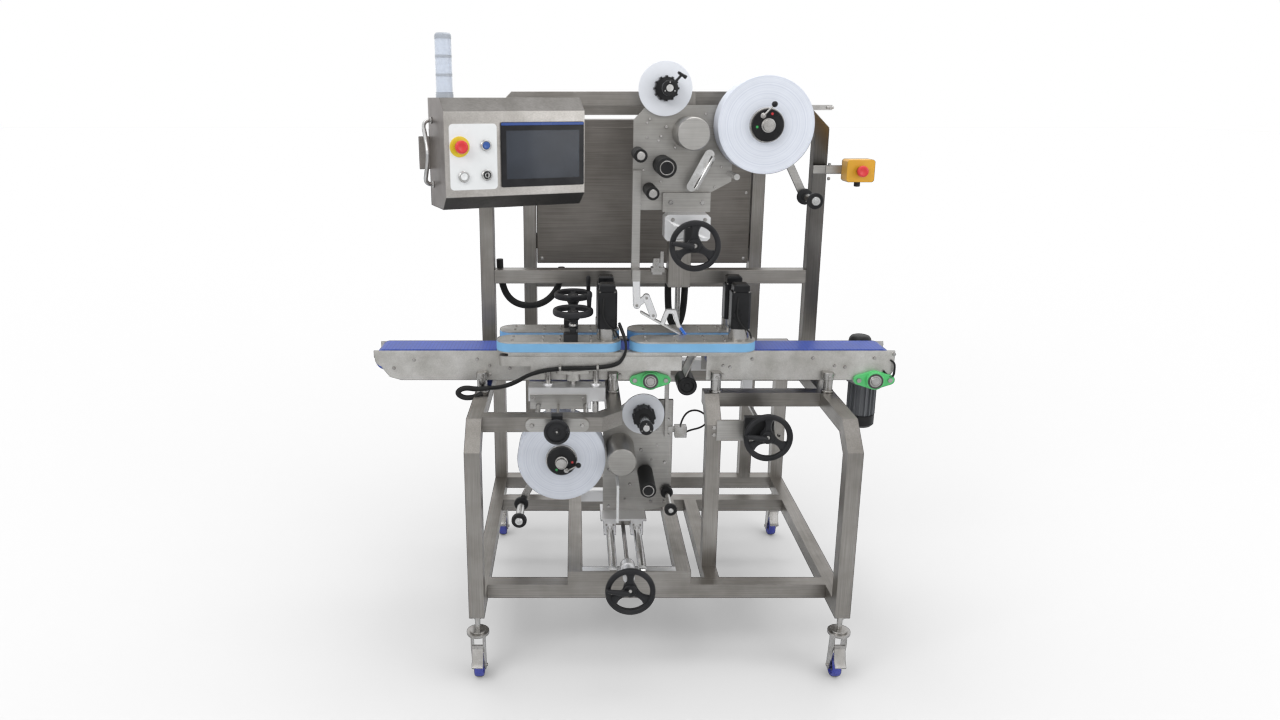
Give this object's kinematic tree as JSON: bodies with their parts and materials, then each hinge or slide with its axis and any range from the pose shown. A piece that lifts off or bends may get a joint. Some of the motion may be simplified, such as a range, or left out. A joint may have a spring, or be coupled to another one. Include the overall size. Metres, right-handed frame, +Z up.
{
  "type": "bottle labelling machine",
  "caption": "Free-standing machine that labels the top and underside of bottles held by side grip belts between two conveyors, on a tube frame with casters.",
  "frame": {"origin": "on the floor, under the middle of the whole machine's bounding box", "axes": "+Z up, +X along the conveyors from infeed to outfeed (right in the picture), +Y away from the operator"},
  "size_m": [1.8429, 1.3044, 2.114],
  "materials": {
    "stainless": "brushed",
    "chrome": "polished",
    "aluminium": "satin",
    "black": "matte",
    "paper": "matte",
    "green": "gloss",
    "motor_grey": "semi gloss",
    "belt_blue": "matte",
    "grip_blue": "matte",
    "caster_blue": "matte",
    "red": "gloss",
    "blue": "gloss",
    "white": "gloss",
    "lamp": "gloss",
    "knurled_rubber": "matte",
    "cable": "satin",
    "plate_white": "satin",
    "yellow": "gloss"
  },
  "bodies": {
    "frame": {"lower_frame": "stainless", "upper_frame": "stainless", "rear_cabinet": "stainless", "caster_stems": "chrome", "conveyor_beds": "stainless", "conveyor_belts": "belt_blue", "bed_bearings": "green", "gearmotor": "motor_grey", "guide_rods": "chrome", "adjuster_blocks": "black", "side_estop_box": "yellow", "hoses": "cable"},
    "front_grip": {"front_grip": "aluminium", "front_grip_drives": "black", "front_grip_belts": "grip_blue", "motor_cable": "cable"},
    "rear_grip": {"rear_grip": "aluminium", "rear_grip_drives": "black", "rear_grip_belts": "grip_blue"},
    "control_box": {"control_box": "stainless", "panel_fittings": "plate_white", "stack_light": "lamp"},
    "infeed_drive_roller": {"infeed_drive_roller": "stainless"},
    "outfeed_drive_roller": {"outfeed_drive_roller": "stainless"},
    "front_carriage": {"front_carriage": "aluminium"},
    "front_lift_wheel": {"front_lift_wheel": "black"},
    "front_slide_wheel": {"front_slide_wheel": "black"},
    "rear_carriage": {"rear_carriage": "aluminium"},
    "rear_lift_wheel": {"rear_lift_wheel": "black"},
    "rear_slide_wheel": {"rear_slide_wheel": "black"},
    "lower_handwheel": {"lower_handwheel": "black"},
    "lower_head": {"lower_head": "stainless"},
    "lower_unwind_reel": {"lower_unwind_reel": "paper"},
    "lower_rewind_reel": {"lower_rewind_reel": "black"},
    "lower_drive_roller": {"lower_drive_roller": "knurled_rubber"},
    "lower_idler": {"lower_idler": "stainless"},
    "lower_dancer_arm": {"lower_dancer_arm": "aluminium"},
    "lower_dancer_roller": {"lower_dancer_roller": "stainless"},
    "upper_handwheel": {"upper_handwheel": "black"},
    "upper_head": {"upper_head": "stainless"},
    "upper_unwind_reel": {"upper_unwind_reel": "paper"},
    "upper_rewind_reel": {"upper_rewind_reel": "black"},
    "upper_drive_roller": {"upper_drive_roller": "knurled_rubber"},
    "upper_idler_a": {"upper_idler_a": "knurled_rubber"},
    "upper_idler_b": {"upper_idler_b": "knurled_rubber"},
    "upper_dancer_arm": {"upper_dancer_arm": "aluminium"},
    "upper_dancer_roller": {"upper_dancer_roller": "stainless"},
    "panel_estop": {"panel_estop": "red"},
    "start_button": {"start_button": "blue"},
    "reset_button": {"reset_button": "white"},
    "key_switch": {"key_switch": "chrome"},
    "side_estop_button": {"side_estop_button": "red"},
    "caster_fork_fl": {"caster_fork_fl": "chrome"},
    "caster_wheel_fl": {"caster_wheel_fl": "caster_blue"},
    "caster_fork_fr": {"caster_fork_fr": "chrome"},
    "caster_wheel_fr": {"caster_wheel_fr": "caster_blue"},
    "caster_fork_rl": {"caster_fork_rl": "chrome"},
    "caster_wheel_rl": {"caster_wheel_rl": "caster_blue"},
    "caster_fork_rr": {"caster_fork_rr": "chrome"},
    "caster_wheel_rr": {"caster_wheel_rr": "caster_blue"}
  },
  "joints": [
    {"name": "infeed_drive_turn", "type": "hinge", "parent": "frame", "child": "infeed_drive_roller", "pos_m": [0.0585, -0.16681, 0.958], "axis": [0, 1, 0], "continuous": true},
    {"name": "outfeed_drive_turn", "type": "hinge", "parent": "frame", "child": "outfeed_drive_roller", "pos_m": [0.8485, -0.16681, 0.958], "axis": [0, 1, 0], "continuous": true},
    {"name": "front_carriage_slide", "type": "slide", "parent": "frame", "child": "front_carriage", "axis": [0, 1, 0], "range_m": [-0.045, 0]},
    {"name": "front_slide_wheel_turn", "type": "hinge", "parent": "frame", "child": "front_slide_wheel", "pos_m": [-0.2645, -0.58181, 0.892], "axis": [0, 1, 0], "range_deg": [-3240, 0]},
    {"name": "front_grip_lift", "type": "slide", "parent": "front_carriage", "child": "front_grip", "axis": [0, 0, 1], "range_m": [0, 0.06]},
    {"name": "front_lift_wheel_turn", "type": "hinge", "parent": "front_grip", "child": "front_lift_wheel", "pos_m": [-0.2135, -0.26581, 1.212], "axis": [0, 0, 1], "range_deg": [0, 4320]},
    {"name": "rear_carriage_slide", "type": "slide", "parent": "frame", "child": "rear_carriage", "axis": [0, 1, 0], "range_m": [0, 0.028]},
    {"name": "rear_slide_wheel_turn", "type": "hinge", "parent": "frame", "child": "rear_slide_wheel", "pos_m": [0.4455, -0.4198, 0.81], "axis": [0, 1, 0], "range_deg": [0, 2016]},
    {"name": "rear_grip_lift", "type": "slide", "parent": "rear_carriage", "child": "rear_grip", "axis": [0, 0, 1], "range_m": [0, 0.06]},
    {"name": "rear_lift_wheel_turn", "type": "hinge", "parent": "rear_grip", "child": "rear_lift_wheel", "pos_m": [-0.2135, -0.06781, 1.228], "axis": [0, 0, 1], "range_deg": [0, 4320]},
    {"name": "lower_head_slide", "type": "slide", "parent": "frame", "child": "lower_head", "axis": [0, 1, 0], "range_m": [-0.04, 0.04]},
    {"name": "lower_handwheel_turn", "type": "hinge", "parent": "frame", "child": "lower_handwheel", "pos_m": [-0.025, -0.62381, 0.352], "axis": [0, 1, 0], "range_deg": [-2880, 2880]},
    {"name": "upper_head_lift", "type": "slide", "parent": "frame", "child": "upper_head", "axis": [0, 0, 1], "range_m": [-0.03, 0.15]},
    {"name": "upper_handwheel_turn", "type": "hinge", "parent": "upper_head", "child": "upper_handwheel", "pos_m": [0.1785, -0.4118, 1.462], "axis": [0, 1, 0], "range_deg": [-2160, 10800]},
    {"name": "lower_unwind_turn", "type": "hinge", "parent": "lower_head", "child": "lower_unwind_reel", "pos_m": [-0.2555, -0.1048, 0.652], "axis": [0, 1, 0], "continuous": true},
    {"name": "lower_rewind_turn", "type": "hinge", "parent": "lower_head", "child": "lower_rewind_reel", "pos_m": [0.0455, -0.1048, 0.792], "axis": [0, 1, 0], "continuous": true},
    {"name": "lower_drive_turn", "type": "hinge", "parent": "lower_head", "child": "lower_drive_roller", "pos_m": [0.0575, -0.1048, 0.552], "axis": [0, 1, 0], "continuous": true},
    {"name": "lower_dancer_swing", "type": "hinge", "parent": "lower_head", "child": "lower_dancer_arm", "pos_m": [-0.3235, -0.11581, 0.6], "axis": [0, 1, 0], "range_deg": [-25, 25]},
    {"name": "lower_dancer_roller_turn", "type": "hinge", "parent": "lower_dancer_arm", "child": "lower_dancer_roller", "pos_m": [-0.4105, -0.11581, 0.431], "axis": [0, 1, 0], "continuous": true},
    {"name": "upper_unwind_turn", "type": "hinge", "parent": "upper_head", "child": "upper_unwind_reel", "pos_m": [0.4265, -0.1048, 1.835], "axis": [0, 1, 0], "continuous": true},
    {"name": "upper_rewind_turn", "type": "hinge", "parent": "upper_head", "child": "upper_rewind_reel", "pos_m": [0.0985, -0.1048, 1.953], "axis": [0, 1, 0], "continuous": true},
    {"name": "upper_drive_turn", "type": "hinge", "parent": "upper_head", "child": "upper_drive_roller", "pos_m": [0.0955, -0.1048, 1.699], "axis": [0, 1, 0], "continuous": true},
    {"name": "upper_dancer_swing", "type": "hinge", "parent": "upper_head", "child": "upper_dancer_arm", "pos_m": [0.4895, -0.11581, 1.79], "axis": [0, 1, 0], "range_deg": [-25, 25]},
    {"name": "upper_dancer_roller_turn", "type": "hinge", "parent": "upper_dancer_arm", "child": "upper_dancer_roller", "pos_m": [0.5925, -0.11581, 1.59], "axis": [0, 1, 0], "continuous": true},
    {"name": "lower_idler_turn", "type": "hinge", "parent": "lower_head", "child": "lower_idler", "pos_m": [0.1405, -0.1048, 0.474], "axis": [0, 1, 0], "continuous": true},
    {"name": "upper_idler_a_turn", "type": "hinge", "parent": "upper_head", "child": "upper_idler_a", "pos_m": [0.0095, -0.1048, 1.738], "axis": [0, 1, 0], "continuous": true},
    {"name": "upper_idler_b_turn", "type": "hinge", "parent": "upper_head", "child": "upper_idler_b", "pos_m": [0.0515, -0.1048, 1.615], "axis": [0, 1, 0], "continuous": true},
    {"name": "control_box_swivel", "type": "hinge", "parent": "frame", "child": "control_box", "pos_m": [-0.5335, -0.22009, 1.754], "axis": [0, 0, 1], "range_deg": [-60, 40]},
    {"name": "panel_estop_press", "type": "slide", "parent": "control_box", "child": "panel_estop", "axis": [-0.3827, 0.9239, 0], "range_m": [0, 0.004]},
    {"name": "start_button_press", "type": "slide", "parent": "control_box", "child": "start_button", "axis": [-0.3827, 0.9239, 0], "range_m": [0, 0.003], "stiffness_N_per_m": 800},
    {"name": "reset_button_press", "type": "slide", "parent": "control_box", "child": "reset_button", "axis": [-0.3827, 0.9239, 0], "range_m": [0, 0.003], "stiffness_N_per_m": 800},
    {"name": "key_switch_turn", "type": "hinge", "parent": "control_box", "child": "key_switch", "pos_m": [-0.47591, -0.47008, 1.691], "axis": [-0.3827, 0.9239, 0], "range_deg": [0, 90]},
    {"name": "side_estop_press", "type": "slide", "parent": "frame", "child": "side_estop_button", "axis": [0, 1, 0], "range_m": [0, 0.004]},
    {"name": "caster_swivel_fl", "type": "hinge", "parent": "frame", "child": "caster_fork_fl", "pos_m": [-0.5335, -0.58681, 0.176], "axis": [0, 0, 1], "continuous": true},
    {"name": "caster_roll_fl", "type": "hinge", "parent": "caster_fork_fl", "child": "caster_wheel_fl", "pos_m": [-0.5335, -0.56481, 0.0375], "axis": [1, 0, 0], "continuous": true},
    {"name": "caster_swivel_fr", "type": "hinge", "parent": "frame", "child": "caster_fork_fr", "pos_m": [0.6825, -0.58681, 0.176], "axis": [0, 0, 1], "continuous": true},
    {"name": "caster_roll_fr", "type": "hinge", "parent": "caster_fork_fr", "child": "caster_wheel_fr", "pos_m": [0.6825, -0.56481, 0.0375], "axis": [1, 0, 0], "continuous": true},
    {"name": "caster_swivel_rl", "type": "hinge", "parent": "frame", "child": "caster_fork_rl", "pos_m": [-0.5335, 0.4512, 0.176], "axis": [0, 0, 1], "continuous": true},
    {"name": "caster_roll_rl", "type": "hinge", "parent": "caster_fork_rl", "child": "caster_wheel_rl", "pos_m": [-0.5335, 0.47319, 0.0375], "axis": [1, 0, 0], "continuous": true},
    {"name": "caster_swivel_rr", "type": "hinge", "parent": "frame", "child": "caster_fork_rr", "pos_m": [0.6825, 0.4512, 0.176], "axis": [0, 0, 1], "continuous": true},
    {"name": "caster_roll_rr", "type": "hinge", "parent": "caster_fork_rr", "child": "caster_wheel_rr", "pos_m": [0.6825, 0.47319, 0.0375], "axis": [1, 0, 0], "continuous": true}
  ],
  "couplings": [
    {"joint": "front_slide_wheel_turn", "follows": "front_carriage_slide", "rad_per_m": 1256.6},
    {"joint": "front_lift_wheel_turn", "follows": "front_grip_lift", "rad_per_m": 1256.6},
    {"joint": "rear_slide_wheel_turn", "follows": "rear_carriage_slide", "rad_per_m": 1256.6},
    {"joint": "rear_lift_wheel_turn", "follows": "rear_grip_lift", "rad_per_m": 1256.6},
    {"joint": "lower_handwheel_turn", "follows": "lower_head_slide", "rad_per_m": 1256.6},
    {"joint": "upper_handwheel_turn", "follows": "upper_head_lift", "rad_per_m": 1256.6}
  ]
}
